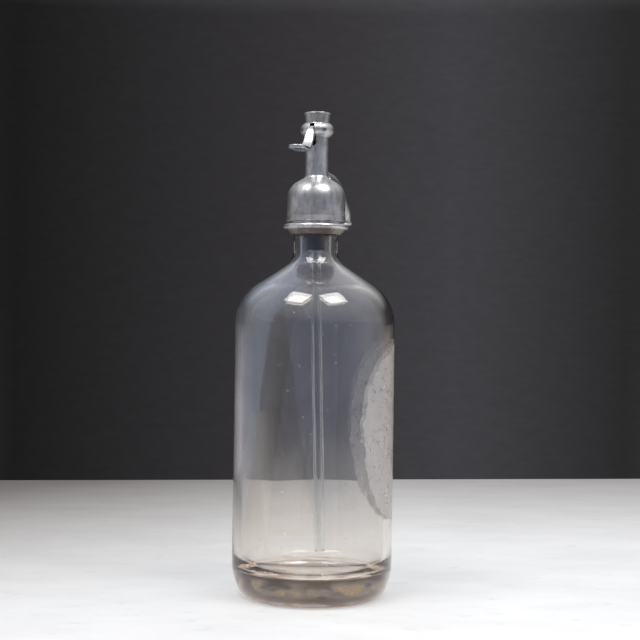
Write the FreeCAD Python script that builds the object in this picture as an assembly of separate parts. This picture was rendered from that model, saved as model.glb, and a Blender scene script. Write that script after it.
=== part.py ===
import FreeCAD, Part
import math
import os
from collections import namedtuple

# Soda siphon: a heavy glass bottle closed by a cast pewter head, in millimetres.
# Z is up from the table, the spout points along +X and the lever along -X.

# Glass bottle
GLASS_RADIUS = 50.0
GLASS_WALL = 4.8
HEEL_RADIUS = 38.0
HEEL_TOP = 22.0
FOOT_ROUND = 3.0
FOOT_INNER_ANGLE = 225.0
FOOT_FLAT = 1.6
KICK_HEIGHT = 5.0
FLOOR_HEIGHT = 17.0
FLOOR_CORNER = 10.0
SHOULDER_START = 169.4
SHOULDER_RADIUS = 30.0
SHOULDER_SLOPE = 33.0
NECK_RADIUS = 13.8
NECK_FILLET = 11.0
FINISH_START = 226.2
FINISH_RADIUS = 15.0
FINISH_TOP = 228.4
LIP_HEIGHT = 239.0
LIP_ROUND = 1.4

# Split neck collar, its liner and the gasket on the glass lip
COLLAR_BOTTOM = 225.2
COLLAR_FOOT_RADIUS = 15.7
COLLAR_TAPER_TOP = 228.3
COLLAR_TAPER_RADIUS = 18.9
COLLAR_BEAD_RADIUS = 20.5
COLLAR_BEAD_HEIGHT = 3.4
COLLAR_NECK_TOP = 232.2
COLLAR_TOP = 238.6
COLLAR_THREAD_RADIUS = 16.45
COLLAR_SPLIT_GAP = 0.5
COLLAR_SPLIT_ANGLE = 105.0
LINER_THICKNESS = 0.5
GASKET_THICKNESS = 2.0

# Head casting
SKIRT_BOTTOM = 233.1
SKIRT_BOTTOM_RADIUS = 18.6
SKIRT_FLARE_TOP = 236.5
SKIRT_RADIUS = 18.2
SKIRT_BORE_RADIUS = 16.5
DOME_START = 248.0
DOME_RADIUS = 11.6
DOME_SLOPE = 30.0
TURNED_LINES = (236.9, 238.0, 239.1)
TURNED_LINE_DEPTH = 0.22
COLUMN_RADIUS = 7.25
COLUMN_WAIST_RADIUS = 7.1
COLUMN_WAIST_HEIGHT = 277.0
COLUMN_FILLET = 2.5
BULGE_BOTTOM = 286.0
BULGE_UNDERCUT = 7.25
BULGE_RADIUS = 10.2
BULGE_WIDEST = 289.3
BULGE_TOP = 294.6
BULGE_TOP_RADIUS = 8.2
HEAD_THREAD_RADIUS = 6.2
HEAD_TOP = 298.6
PASSAGE_RADIUS = 2.0
CHAMBER_FLOOR = 252.0
CHAMBER_RADIUS = 4.1
GUIDE_FLOOR = 266.5
GUIDE_RADIUS = 4.6
SOCKET_TOP = 247.5
LEVER_SLOT_WIDTH = 3.3
LEVER_SLOT_BOTTOM = 280.4
LEVER_SLOT_TOP = 294.1

# Spout, soldered into a boss on the dome
SPOUT_HEIGHT = 259.3
SPOUT_JOINT = 19.4
SPOUT_ROOT_RADIUS = 6.8
SPOUT_TIP_RADIUS = 4.9
SPOUT_BORE_RADIUS = 2.6
SPOUT_TENON_RADIUS = 4.4
SPOUT_TENON_LENGTH = 5.0
SPOUT_FIRST_BEND = (32.0, 33.0)
SPOUT_RUN = 16.6
SPOUT_SECOND_BEND = (10.0, 49.0)
SPOUT_END_RUN = 3.0
SPOUT_STATIONS = (4, 2, 3)
TIP_BEAD = 0.8

# Dip tube with its rubber grommet and ferrule
TUBE_RADIUS = 3.3
TUBE_BORE_RADIUS = 1.8
TUBE_TOP = 246.5
TUBE_BOTTOM = 28.0
TUBE_BEND_HEIGHT = 206.0
TUBE_BEND_RADIUS = 400.0
TUBE_LEAN = 1.7
TUBE_LEAN_DIRECTION = -71.0
GROMMET_RADIUS = 5.9
GROMMET_BOTTOM = 215.8
FERRULE_RADIUS = 4.7
FERRULE_HEIGHT = 2.2

# Valve and its return spring, all on the column's axis
SEAT_THICKNESS = 1.4
SEAT_LIP_HEIGHT = 0.5
WASHER_RADIUS = 3.4
WASHER_THICKNESS = 1.8
WASHER_HOLE_RADIUS = 0.95
FLANGE_RADIUS = 3.5
FLANGE_THICKNESS = 1.5
STEM_RADIUS = 2.1
PACKING_HEIGHT = 3.0
GLAND_HEIGHT = 4.5
BLOCK_BOTTOM = 283.4
BLOCK_TOP = 291.4
BLOCK_RADIUS = 4.53
SPIGOT_RADIUS = 1.9
SPIGOT_HEIGHT = 3.3
WINDOW_BOTTOM = 286.0
WINDOW_TOP = 289.5
WINDOW_DEPTH = 1.0
SPRING_TOP = 299.2
SPRING_COIL_RADIUS = 3.25
SPRING_WIRE_RADIUS = 0.45
SPRING_TURNS = 4.5
SPRING_SEAT_RADIUS = 4.4
SPRING_SEAT_THICKNESS = 0.6

# Screwed top cap
CAP_BOTTOM = 294.8
CAP_BOTTOM_RADIUS = 7.5
CAP_TOP_RADIUS = 7.95
CAP_RIM_RADIUS = 8.4
CAP_RIM_BOTTOM = 300.4
CAP_TOP = 301.35
CAP_CROWN = 0.35

# Lever and its pivot pin
PIVOT_OFFSET = 7.2
PIVOT_HEIGHT = 290.2
PIN_RADIUS = 1.1
PIN_RUNNING_FIT = 0.07
LEVER_BLADE_WIDTH = 2.8
LEVER_EYE_RADIUS = 2.5
NOSE_REACH = 6.1
NOSE_TOP = -0.85
NOSE_THICKNESS = 2.1
PAD_START = 22.0
PAD_END = 41.5
PAD_BOTTOM = 274.7
PAD_THICKNESS = 2.3
PAD_HALF_WIDTH = 5.3
PAD_NECK_HALF_WIDTH = 3.9
PAD_DISH_DEPTH = 0.6
PAD_RIM = 1.3

AXIS = FreeCAD.Vector(0, 0, 1)
ORIGIN = FreeCAD.Vector(0, 0, 0)

# An arc in the XZ plane: its centre, its radius and the two angles it runs between.
Turn = namedtuple("Turn", "x z radius start end")


def at(x, z):
    """Point in the XZ plane."""
    return FreeCAD.Vector(x, 0, z)


def polar(turn, degrees):
    """Point on a turn's circle."""
    angle = math.radians(degrees)
    return at(turn.x + turn.radius * math.cos(angle), turn.z + turn.radius * math.sin(angle))


def trace(items):
    """Closed wire through points and turns, joined by straight lines."""
    edges = []
    first = None
    last = None
    for item in items:
        if isinstance(item, Turn):
            start = polar(item, item.start)
            end = polar(item, item.end)
        else:
            start = at(*item)
            end = start
        if last is not None and start.distanceToPoint(last) > 1e-4:
            edges.append(Part.makeLine(last, start))
        if isinstance(item, Turn):
            middle = polar(item, (item.start + item.end) / 2)
            edges.append(Part.Arc(start, middle, end).toShape())
        first = first or start
        last = end
    if last.distanceToPoint(first) > 1e-4:
        edges.append(Part.makeLine(last, first))
    return Part.Wire(edges)


def turned(items):
    """Solid of revolution about Z from a closed outline."""
    return Part.Face(trace(items)).revolve(ORIGIN, AXIS, 360)


def sliced(items, width):
    """Flat plate in the XZ plane, centred on Y."""
    plate = Part.Face(trace(items)).extrude(FreeCAD.Vector(0, width, 0))
    plate.translate(FreeCAD.Vector(0, -width / 2, 0))
    return plate


def rod(radius, start, end):
    """Round bar between two points."""
    return Part.makeCylinder(radius, start.distanceToPoint(end), start, end - start)


def ring(inner, outer, bottom, top, edge=0.0):
    """Washer about Z, its outer edges broken by a small chamfer where one is asked for."""
    outline = [(inner, bottom), (outer - edge, bottom)]
    outline.append((outer, bottom + edge))
    outline.append((outer, top - edge))
    if edge:
        outline.append((outer - edge, top))
    outline.append((inner, top))
    return turned(outline)


def save(name, shape):
    """Write one node's STEP file, with its split faces joined where that keeps it valid."""
    joined = shape.removeSplitter()
    solid = joined if joined.isValid() else shape
    if not solid.isValid():
        raise ValueError(name + " is not a valid solid")
    solid.exportStep("parts/" + name + ".step")
    print("%-16s %2d solid, %9.1f mm3" % (name, len(solid.Solids), solid.Volume))


def neck_turn(inset):
    """Fillet between the sloping shoulder and the neck, for the outside or the inside."""
    across = math.sin(math.radians(SHOULDER_SLOPE))
    upward = math.cos(math.radians(SHOULDER_SLOPE))
    x = NECK_RADIUS + NECK_FILLET
    along = across * (GLASS_RADIUS - SHOULDER_RADIUS) + upward * SHOULDER_START
    z = (along + SHOULDER_RADIUS + NECK_FILLET - across * x) / upward
    return Turn(x, z, NECK_FILLET + inset, 270 - SHOULDER_SLOPE, 180)


def shoulder_turn(inset):
    """Round of the shoulder, for the outside or the inside."""
    centre = GLASS_RADIUS - SHOULDER_RADIUS
    return Turn(centre, SHOULDER_START, SHOULDER_RADIUS - inset, 0, 90 - SHOULDER_SLOPE)


def backwards(turn):
    """The same arc run the other way."""
    return Turn(turn.x, turn.z, turn.radius, turn.end, turn.start)


def glass_bottle():
    """Blown bottle: pushed-up base on an annular foot, thick floor, shoulder and ground lip."""
    heel_x = GLASS_RADIUS - HEEL_RADIUS
    foot_x = heel_x + math.sqrt((HEEL_RADIUS - FOOT_ROUND) ** 2 - (HEEL_TOP - FOOT_ROUND) ** 2)
    heel_angle = math.degrees(math.atan2(FOOT_ROUND - HEEL_TOP, foot_x - heel_x))
    inner_foot = Turn(foot_x - FOOT_FLAT, FOOT_ROUND, FOOT_ROUND, FOOT_INNER_ANGLE, 270)
    outer_foot = Turn(foot_x, FOOT_ROUND, FOOT_ROUND, 270, 360 + heel_angle)
    edge = polar(inner_foot, FOOT_INNER_ANGLE)
    rise = KICK_HEIGHT - edge.z
    kick_radius = (edge.x ** 2 + rise ** 2) / (2 * rise)
    kick_angle = math.degrees(math.acos(edge.x / kick_radius))
    bore = NECK_RADIUS - GLASS_WALL
    inside = GLASS_RADIUS - GLASS_WALL
    return turned([
        Turn(0, KICK_HEIGHT - kick_radius, kick_radius, 90, kick_angle),
        inner_foot,
        outer_foot,
        Turn(heel_x, HEEL_TOP, HEEL_RADIUS, heel_angle, 0),
        shoulder_turn(0),
        neck_turn(0),
        (NECK_RADIUS, FINISH_START),
        (FINISH_RADIUS, FINISH_TOP),
        Turn(FINISH_RADIUS - LIP_ROUND, LIP_HEIGHT - LIP_ROUND, LIP_ROUND, 0, 90),
        Turn(bore + LIP_ROUND, LIP_HEIGHT - LIP_ROUND, LIP_ROUND, 90, 180),
        backwards(neck_turn(GLASS_WALL)),
        backwards(shoulder_turn(GLASS_WALL)),
        Turn(inside - FLOOR_CORNER, FLOOR_HEIGHT + FLOOR_CORNER, FLOOR_CORNER, 0, -90),
        (0, FLOOR_HEIGHT),
    ])


def collar_ring():
    """Whole neck collar before it is split: taper, bead and threaded sleeve."""
    neck = NECK_RADIUS + LINER_THICKNESS
    sleeve = FINISH_RADIUS + LINER_THICKNESS
    bead = COLLAR_BEAD_HEIGHT / 2
    thread_edge = 0.4
    return turned([
        (neck, COLLAR_BOTTOM),
        (COLLAR_FOOT_RADIUS, COLLAR_BOTTOM),
        (COLLAR_TAPER_RADIUS, COLLAR_TAPER_TOP),
        Turn(COLLAR_BEAD_RADIUS - bead, COLLAR_TAPER_TOP + bead, bead, -80, 90),
        (COLLAR_TAPER_RADIUS - 1, COLLAR_TAPER_TOP + COLLAR_BEAD_HEIGHT),
        (COLLAR_THREAD_RADIUS, COLLAR_NECK_TOP),
        (COLLAR_THREAD_RADIUS, COLLAR_TOP - thread_edge),
        (COLLAR_THREAD_RADIUS - thread_edge, COLLAR_TOP),
        (sleeve, COLLAR_TOP),
        (sleeve, FINISH_TOP),
        (neck, FINISH_START),
    ])


def collar_half(side):
    """One half of the split collar."""
    reach = 2 * COLLAR_BEAD_RADIUS
    box = Part.makeBox(2 * reach, reach, reach)
    box.translate(FreeCAD.Vector(-reach, COLLAR_SPLIT_GAP / 2, COLLAR_BOTTOM - 1))
    box.rotate(ORIGIN, AXIS, COLLAR_SPLIT_ANGLE + (0 if side > 0 else 180))
    return collar_ring().common(box)


def collar_liner():
    """Thin rubber band that cushions the glass under the collar's cone."""
    neck = NECK_RADIUS
    finish = FINISH_RADIUS
    return turned([
        (neck, COLLAR_BOTTOM - 0.3),
        (neck + LINER_THICKNESS, COLLAR_BOTTOM - 0.3),
        (neck + LINER_THICKNESS, FINISH_START),
        (finish + LINER_THICKNESS, FINISH_TOP),
        (finish + LINER_THICKNESS, FINISH_TOP + 3),
        (finish, FINISH_TOP + 3),
        (finish, FINISH_TOP),
        (neck, FINISH_START),
    ])


def neck_gasket():
    """Rubber ring that the head clamps on the glass lip."""
    outer = FINISH_RADIUS + 0.4
    return ring(NECK_RADIUS - GLASS_WALL + 0.4, outer, LIP_HEIGHT, LIP_HEIGHT + GASKET_THICKNESS, 0.5)


def head_outline():
    """Outside of the casting from the skirt's foot to the screw thread under the cap."""
    dome_x = SKIRT_RADIUS - DOME_RADIUS
    dome = Turn(dome_x, DOME_START, DOME_RADIUS, 0, 90 - DOME_SLOPE)
    across = math.sin(math.radians(DOME_SLOPE))
    upward = math.cos(math.radians(DOME_SLOPE))
    fillet_x = COLUMN_RADIUS + COLUMN_FILLET
    along = across * dome_x + upward * DOME_START + DOME_RADIUS + COLUMN_FILLET
    fillet_z = (along - across * fillet_x) / upward
    bulge = Part.Arc(
        at(BULGE_UNDERCUT + 1.1, BULGE_BOTTOM + 0.9),
        at(BULGE_RADIUS, BULGE_WIDEST),
        at(BULGE_TOP_RADIUS, BULGE_TOP)).toShape().Curve
    centre = bulge.Center
    start = math.degrees(math.atan2(BULGE_BOTTOM + 0.9 - centre.z, BULGE_UNDERCUT + 1.1 - centre.x))
    end = math.degrees(math.atan2(BULGE_TOP - centre.z, BULGE_TOP_RADIUS - centre.x))
    lines = []
    for height in TURNED_LINES:
        lines.append((SKIRT_RADIUS, height - TURNED_LINE_DEPTH))
        lines.append((SKIRT_RADIUS - TURNED_LINE_DEPTH, height))
        lines.append((SKIRT_RADIUS, height + TURNED_LINE_DEPTH))
    return [
        (SKIRT_BORE_RADIUS, SKIRT_BOTTOM),
        (SKIRT_BOTTOM_RADIUS - 0.5, SKIRT_BOTTOM),
        Turn(SKIRT_BOTTOM_RADIUS - 0.5, SKIRT_BOTTOM + 0.5, 0.5, -90, 0),
        (SKIRT_RADIUS, SKIRT_FLARE_TOP),
        *lines,
        dome,
        Turn(fillet_x, fillet_z, COLUMN_FILLET, 270 - DOME_SLOPE, 180),
        (COLUMN_WAIST_RADIUS, COLUMN_WAIST_HEIGHT),
        (BULGE_UNDERCUT, BULGE_BOTTOM),
        Turn(centre.x, centre.z, bulge.Radius, start, end),
        (HEAD_THREAD_RADIUS, BULGE_TOP),
        (HEAD_THREAD_RADIUS, HEAD_TOP),
    ]


def head():
    """Pewter casting: skirt, dome, spout boss, hollow column and slotted bulge."""
    shoulder = LIP_HEIGHT + GASKET_THICKNESS
    body = turned(head_outline() + [
        (GUIDE_RADIUS, HEAD_TOP),
        (GUIDE_RADIUS, GUIDE_FLOOR),
        (CHAMBER_RADIUS, GUIDE_FLOOR),
        (CHAMBER_RADIUS, CHAMBER_FLOOR),
        (PASSAGE_RADIUS, CHAMBER_FLOOR),
        (PASSAGE_RADIUS, SOCKET_TOP),
        (GROMMET_RADIUS, SOCKET_TOP),
        (GROMMET_RADIUS, shoulder),
        (SKIRT_BORE_RADIUS, shoulder),
    ])
    boss_root = at(CHAMBER_RADIUS + 1, SPOUT_HEIGHT)
    boss = Part.makeCone(
        SPOUT_ROOT_RADIUS + 1.0, SPOUT_ROOT_RADIUS, SPOUT_JOINT - boss_root.x, boss_root,
        FreeCAD.Vector(1, 0, 0))
    body = body.fuse(boss)
    body = body.cut(rod(SPOUT_BORE_RADIUS, at(0, SPOUT_HEIGHT), at(SPOUT_JOINT, SPOUT_HEIGHT)))
    tenon = SPOUT_JOINT - SPOUT_TENON_LENGTH
    body = body.cut(rod(SPOUT_TENON_RADIUS, at(tenon, SPOUT_HEIGHT), at(SPOUT_JOINT, SPOUT_HEIGHT)))
    slot_height = LEVER_SLOT_TOP - LEVER_SLOT_BOTTOM - LEVER_SLOT_WIDTH / 2
    slot = Part.makeBox(BULGE_RADIUS + 2, LEVER_SLOT_WIDTH, slot_height)
    slot.translate(FreeCAD.Vector(
        -BULGE_RADIUS - 2, -LEVER_SLOT_WIDTH / 2, LEVER_SLOT_TOP - slot_height))
    body = body.cut(slot)
    slot_foot = LEVER_SLOT_BOTTOM + LEVER_SLOT_WIDTH / 2
    body = body.cut(rod(LEVER_SLOT_WIDTH / 2, at(-BULGE_RADIUS - 2, slot_foot), at(0, slot_foot)))
    return body.cut(pin_bar(PIN_RADIUS, 4 * BULGE_RADIUS))


def pin_bar(radius, length):
    """Bar along the lever's pivot axis."""
    start = FreeCAD.Vector(-PIVOT_OFFSET, -length / 2, PIVOT_HEIGHT)
    return rod(radius, start, start + FreeCAD.Vector(0, length, 0))


def bend(start, heading, radius, degrees):
    """Downward bend in the XZ plane: its edge, its end point and its new heading."""
    centre_angle = heading + 90
    centre = start - FreeCAD.Vector(
        math.cos(math.radians(centre_angle)) * radius, 0,
        math.sin(math.radians(centre_angle)) * radius)
    turn = Turn(centre.x, centre.z, radius, centre_angle, centre_angle - degrees)
    middle = polar(turn, centre_angle - degrees / 2)
    end = polar(turn, turn.end)
    return Part.Arc(start, middle, end).toShape(), end, heading - degrees


def straight(start, heading, length):
    """Straight run in the XZ plane: its edge and its end point."""
    angle = math.radians(heading)
    end = start + FreeCAD.Vector(math.cos(angle) * length, 0, math.sin(angle) * length)
    return Part.makeLine(start, end), end


def spout_path():
    """Centre line of the spout: the tenon, a long bend, a run and a quick bend."""
    point = at(SPOUT_JOINT, SPOUT_HEIGHT)
    tenon = Part.makeLine(at(SPOUT_JOINT - SPOUT_TENON_LENGTH, SPOUT_HEIGHT), point)
    first, point, heading = bend(point, 0, *SPOUT_FIRST_BEND)
    run, point = straight(point, heading, SPOUT_RUN)
    second, point, heading = bend(point, heading, *SPOUT_SECOND_BEND)
    return tenon, first, run, second


def ring_on(edge, share, radius):
    """Circle square to an edge at a share of its length."""
    value = edge.getParameterByLength(share * edge.Length)
    return Part.Wire(Part.makeCircle(radius, edge.valueAt(value), edge.tangentAt(value)))


def spout_tip(start, direction):
    """Straight end of the spout with its rolled bead, and the bore through it."""
    root = SPOUT_TIP_RADIUS
    length = SPOUT_END_RUN
    outline = [
        (0, 0),
        (root, 0),
        (root, length - 2 * TIP_BEAD),
        Turn(root, length - TIP_BEAD, TIP_BEAD, -90, 90),
        (0, length),
    ]
    tip = turned(outline)
    tip.Placement = FreeCAD.Placement(start, FreeCAD.Rotation(AXIS, direction))
    return tip


def spout():
    """Tapered goose-neck spout with a rolled tip and a tenon for the solder joint."""
    tenon, *curve = spout_path()
    lengths = [edge.Length for edge in curve]
    rings = []
    done = 0.0
    for edge, stations in zip(curve, SPOUT_STATIONS):
        for station in range(stations):
            share = station / stations
            along = (done + share * edge.Length) / sum(lengths)
            radius = SPOUT_ROOT_RADIUS + along * (SPOUT_TIP_RADIUS - SPOUT_ROOT_RADIUS)
            rings.append(ring_on(edge, share, radius))
        done += edge.Length
    last = curve[-1]
    rings.append(ring_on(last, 1, SPOUT_TIP_RADIUS))
    body = Part.makeLoft(rings, True, False)
    mouth = last.valueAt(last.getParameterByLength(last.Length))
    outward = last.tangentAt(last.getParameterByLength(last.Length))
    body = body.fuse(spout_tip(mouth, outward))
    body = body.fuse(rod(SPOUT_TENON_RADIUS, tenon.Vertexes[0].Point, tenon.Vertexes[1].Point))
    drop = Part.makeLine(mouth, mouth + outward * SPOUT_END_RUN)
    bore = Part.Wire([tenon, *curve, drop])
    return body.cut(bore.makePipeShell([ring_on(tenon, 0, SPOUT_BORE_RADIUS)], True, False))


def tube_path():
    """Centre line of the dip tube: straight down the neck, then leaning to one side."""
    top = at(0, TUBE_TOP)
    knee = at(0, TUBE_BEND_HEIGHT)
    drop = Part.makeLine(top, knee)
    curve = Turn(TUBE_BEND_RADIUS, TUBE_BEND_HEIGHT, TUBE_BEND_RADIUS, 180, 180 + TUBE_LEAN)
    end = polar(curve, curve.end)
    arc = Part.Arc(knee, polar(curve, 180 + TUBE_LEAN / 2), end).toShape()
    length = (end.z - TUBE_BOTTOM) / math.cos(math.radians(TUBE_LEAN))
    slope = straight(end, -90 + TUBE_LEAN, length)[0]
    return Part.Wire([drop, arc, slope])


def dip_tube():
    """Glass tube that reaches from the head down to the foot of the bottle."""
    path = tube_path()
    down = FreeCAD.Vector(0, 0, -1)
    outer = path.makePipeShell(
        [Part.Wire(Part.makeCircle(TUBE_RADIUS, at(0, TUBE_TOP), down))], True, False)
    inner = path.makePipeShell(
        [Part.Wire(Part.makeCircle(TUBE_BORE_RADIUS, at(0, TUBE_TOP), down))], True, False)
    tube = outer.cut(inner)
    tube.rotate(ORIGIN, AXIS, TUBE_LEAN_DIRECTION)
    return tube


def tube_grommet():
    """Rubber sleeve pushed over the tube and up into the head's socket."""
    return ring(TUBE_RADIUS, GROMMET_RADIUS, GROMMET_BOTTOM, SOCKET_TOP, 0.6)


def tube_ferrule():
    """Small ring that holds the sleeve's lower end on the tube."""
    return ring(TUBE_RADIUS, FERRULE_RADIUS, GROMMET_BOTTOM - FERRULE_HEIGHT, GROMMET_BOTTOM, 0.5)


def valve_seat():
    """Brass seat ring with a raised lip for the valve washer."""
    top = CHAMBER_FLOOR + SEAT_THICKNESS
    lip = PASSAGE_RADIUS + 0.5
    return turned([
        (PASSAGE_RADIUS, CHAMBER_FLOOR),
        (CHAMBER_RADIUS, CHAMBER_FLOOR),
        (CHAMBER_RADIUS, top),
        (lip + SEAT_LIP_HEIGHT, top),
        (lip, top + SEAT_LIP_HEIGHT),
        (PASSAGE_RADIUS, top + SEAT_LIP_HEIGHT),
    ])


def washer_bottom():
    """Height of the valve washer's face, on the seat's lip."""
    return CHAMBER_FLOOR + SEAT_THICKNESS + SEAT_LIP_HEIGHT


def valve_washer():
    """Rubber disc that closes the seat."""
    bottom = washer_bottom()
    return ring(WASHER_HOLE_RADIUS, WASHER_RADIUS, bottom, bottom + WASHER_THICKNESS, 0.3)


def washer_screw():
    """Cheese-head screw that holds the washer on the plunger."""
    bottom = washer_bottom()
    head_radius = 1.5
    head_height = 0.9
    shank_end = bottom + WASHER_THICKNESS + FLANGE_THICKNESS + 1.5
    screw = turned([
        (0, bottom - head_height),
        (head_radius, bottom - head_height),
        (head_radius, bottom),
        (WASHER_HOLE_RADIUS, bottom),
        (WASHER_HOLE_RADIUS, shank_end - 0.4),
        (WASHER_HOLE_RADIUS - 0.4, shank_end),
        (0, shank_end),
    ])
    driver = Part.makeBox(4, 0.4, 0.4)
    driver.translate(FreeCAD.Vector(-2, -0.2, bottom - head_height))
    return screw.cut(driver)


def plunger():
    """Valve spindle: flange, stem, windowed guide block and spring spigot."""
    bottom = washer_bottom() + WASHER_THICKNESS
    screw_top = bottom + FLANGE_THICKNESS + 1.5
    chamfer = 0.5
    body = turned([
        (WASHER_HOLE_RADIUS, bottom),
        (FLANGE_RADIUS, bottom),
        (FLANGE_RADIUS, bottom + FLANGE_THICKNESS - chamfer),
        (FLANGE_RADIUS - chamfer, bottom + FLANGE_THICKNESS),
        (STEM_RADIUS, bottom + FLANGE_THICKNESS),
        (STEM_RADIUS, BLOCK_BOTTOM - 1.5),
        (BLOCK_RADIUS - chamfer, BLOCK_BOTTOM),
        (BLOCK_RADIUS, BLOCK_BOTTOM + chamfer),
        (BLOCK_RADIUS, BLOCK_TOP),
        (SPIGOT_RADIUS, BLOCK_TOP),
        (SPIGOT_RADIUS, BLOCK_TOP + SPIGOT_HEIGHT - chamfer),
        (SPIGOT_RADIUS - chamfer, BLOCK_TOP + SPIGOT_HEIGHT),
        (0, BLOCK_TOP + SPIGOT_HEIGHT),
        (0, screw_top),
        (WASHER_HOLE_RADIUS, screw_top),
    ])
    window = Part.makeBox(2 * BLOCK_RADIUS, LEVER_SLOT_WIDTH, WINDOW_TOP - WINDOW_BOTTOM)
    window.translate(FreeCAD.Vector(
        WINDOW_DEPTH - 2 * BLOCK_RADIUS, -LEVER_SLOT_WIDTH / 2, WINDOW_BOTTOM))
    return body.cut(window)


def stem_packing():
    """Leather packing round the stem, on the step in the bore."""
    return ring(STEM_RADIUS + 0.05, GUIDE_RADIUS, GUIDE_FLOOR, GUIDE_FLOOR + PACKING_HEIGHT)


def gland_nut():
    """Screwed ring that squeezes the packing, with a slot for a spanner."""
    bottom = GUIDE_FLOOR + PACKING_HEIGHT
    nut = ring(STEM_RADIUS + 0.25, GUIDE_RADIUS, bottom, bottom + GLAND_HEIGHT)
    slot_depth = 1.2
    slot = Part.makeBox(2 * GUIDE_RADIUS + 1, 1.4, slot_depth)
    slot.translate(FreeCAD.Vector(-GUIDE_RADIUS - 0.5, -0.7, bottom + GLAND_HEIGHT - slot_depth))
    return nut.cut(slot)


def biarc(start, start_way, end, end_way):
    """Two tangent arcs that leave one point and reach another along given directions."""
    chord = end - start
    square = 2 * (start_way.dot(end_way) - 1)
    linear = -2 * chord.dot(start_way + end_way)
    constant = chord.dot(chord)
    root = math.sqrt(linear * linear - 4 * square * constant)
    reach = (-linear - root) / (2 * square)
    corners = (start + start_way * reach, end - end_way * reach)
    joint = (corners[0] + corners[1]) / 2
    edges = []
    for near, corner, far in ((start, corners[0], joint), (joint, corners[1], end)):
        inward = (near + far) / 2 - corner
        centre_gap = reach * reach / inward.Length
        bulge = centre_gap - math.sqrt(centre_gap ** 2 - reach ** 2)
        middle = corner + inward * (bulge / inward.Length)
        edges.append(Part.Arc(near, middle, far).toShape())
    return edges


def spring_state(turns, pitch, bottom):
    """Point and direction on the spring's helix after some turns."""
    angle = 2 * math.pi * turns
    climb = pitch / (2 * math.pi)
    point = FreeCAD.Vector(
        SPRING_COIL_RADIUS * math.cos(angle),
        SPRING_COIL_RADIUS * math.sin(angle),
        bottom + climb * angle)
    way = FreeCAD.Vector(
        -SPRING_COIL_RADIUS * math.sin(angle), SPRING_COIL_RADIUS * math.cos(angle), climb)
    return point, way.normalize()


def plunger_spring():
    """Compression spring between the plunger and the cap, as one wound wire."""
    bottom = BLOCK_TOP + SPRING_WIRE_RADIUS
    pitch = (SPRING_TOP - BLOCK_TOP - 2 * SPRING_WIRE_RADIUS) / SPRING_TURNS
    quarters = int(SPRING_TURNS * 4)
    edges = []
    for quarter in range(quarters):
        start, start_way = spring_state(quarter / 4, pitch, bottom)
        end, end_way = spring_state((quarter + 1) / 4, pitch, bottom)
        edges += biarc(start, start_way, end, end_way)
    start, start_way = spring_state(0, pitch, bottom)
    wire = Part.Wire(Part.makeCircle(SPRING_WIRE_RADIUS, start, start_way))
    least = least_gap(pitch, bottom)
    print("spring pitch %.2f mm, least gap between turns %.2f mm" % (pitch, least))
    return Part.Wire(edges).makePipeShell([wire], True, False)


def least_gap(pitch, bottom):
    """Least gap between one turn of the spring and the next, measured on points."""
    steps = 24
    points = [spring_state(i / steps, pitch, bottom)[0] for i in range(int(SPRING_TURNS * steps))]
    least = 2 * SPRING_COIL_RADIUS
    for i, near in enumerate(points):
        for far in points[i + steps // 2:]:
            least = min(least, near.distanceToPoint(far))
    return least - 2 * SPRING_WIRE_RADIUS


def spring_seat():
    """Steel washer between the spring and the cap."""
    return ring(1.2, SPRING_SEAT_RADIUS, SPRING_TOP, SPRING_TOP + SPRING_SEAT_THICKNESS)


def top_cap():
    """Screwed cap with a thin rim and a slightly crowned top."""
    ceiling = SPRING_TOP + SPRING_SEAT_THICKNESS
    rim = (CAP_TOP - CAP_RIM_BOTTOM) / 2
    crown_radius = (CAP_RIM_RADIUS ** 2 + CAP_CROWN ** 2) / (2 * CAP_CROWN)
    crown_start = math.degrees(math.acos((CAP_RIM_RADIUS - rim) / crown_radius))
    crown = Turn(0, CAP_TOP + CAP_CROWN - crown_radius, crown_radius, crown_start, 90)
    return turned([
        (HEAD_THREAD_RADIUS + 0.05, BULGE_TOP),
        (CAP_BOTTOM_RADIUS - 0.2, BULGE_TOP),
        (CAP_BOTTOM_RADIUS, CAP_BOTTOM),
        (CAP_TOP_RADIUS, CAP_RIM_BOTTOM - 0.4),
        Turn(CAP_RIM_RADIUS - rim, CAP_RIM_BOTTOM + rim, rim, -80, 70),
        crown,
        (0, ceiling),
        (HEAD_THREAD_RADIUS + 0.05, ceiling),
    ])


def lever_blade():
    """Flat part of the lever in the slot: nose, pivot eye and the root of the arm."""
    nose_round = NOSE_THICKNESS / 2
    nose_x = -PIVOT_OFFSET + NOSE_REACH - nose_round
    nose_z = PIVOT_HEIGHT + NOSE_TOP - nose_round
    return sliced([
        Turn(nose_x, nose_z, nose_round, -90, 90),
        (-PIVOT_OFFSET + LEVER_EYE_RADIUS * 0.6, PIVOT_HEIGHT + NOSE_TOP - 0.1),
        Turn(-PIVOT_OFFSET, PIVOT_HEIGHT, LEVER_EYE_RADIUS, 35, 105),
        (-11.8, 291.7),
        (-14.0, 289.6),
        (-13.6, 286.4),
        (-11.2, 286.9),
        Turn(-PIVOT_OFFSET, PIVOT_HEIGHT, LEVER_EYE_RADIUS + 0.5, 220, 285),
    ], LEVER_BLADE_WIDTH)


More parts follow.
